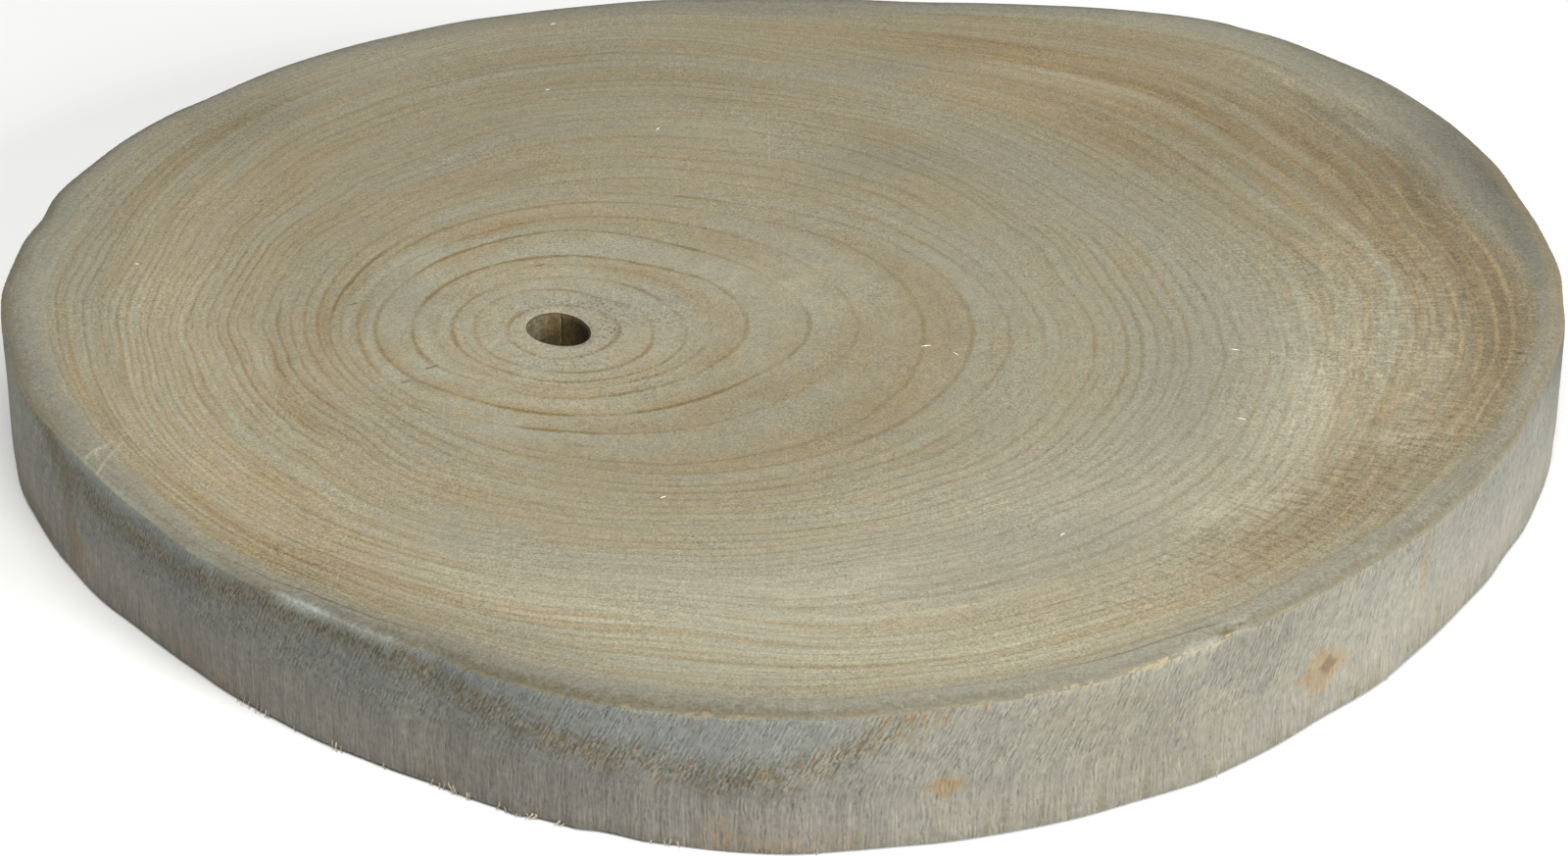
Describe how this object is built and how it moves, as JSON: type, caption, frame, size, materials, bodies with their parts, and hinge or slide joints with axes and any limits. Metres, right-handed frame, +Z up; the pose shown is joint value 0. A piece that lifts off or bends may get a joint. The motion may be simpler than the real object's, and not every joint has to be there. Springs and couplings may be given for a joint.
{
  "type": "decorative wood disc",
  "caption": "Round decorative slice of a peeled tree trunk with flat sawn faces, irregular grey sides and an open off-centre pith hole; a rustic base or display board.",
  "frame": {"origin": "under the middle of the slice's bounding box, on the surface that the slice lies on", "axes": "+Z up through the slice's thickness, +X the long way across, with the pith hole towards -X and -Y, and the side seen in the picture towards -Y"},
  "size_m": [0.402, 0.399, 0.036],
  "materials": {
    "weathered_wood": "dry sawn end grain with fine growth rings on the faces, and peeled grey weathered wood round the sides"
  },
  "bodies": {
    "root": {"wood_disc": "weathered_wood"}
  },
  "joints": []
}
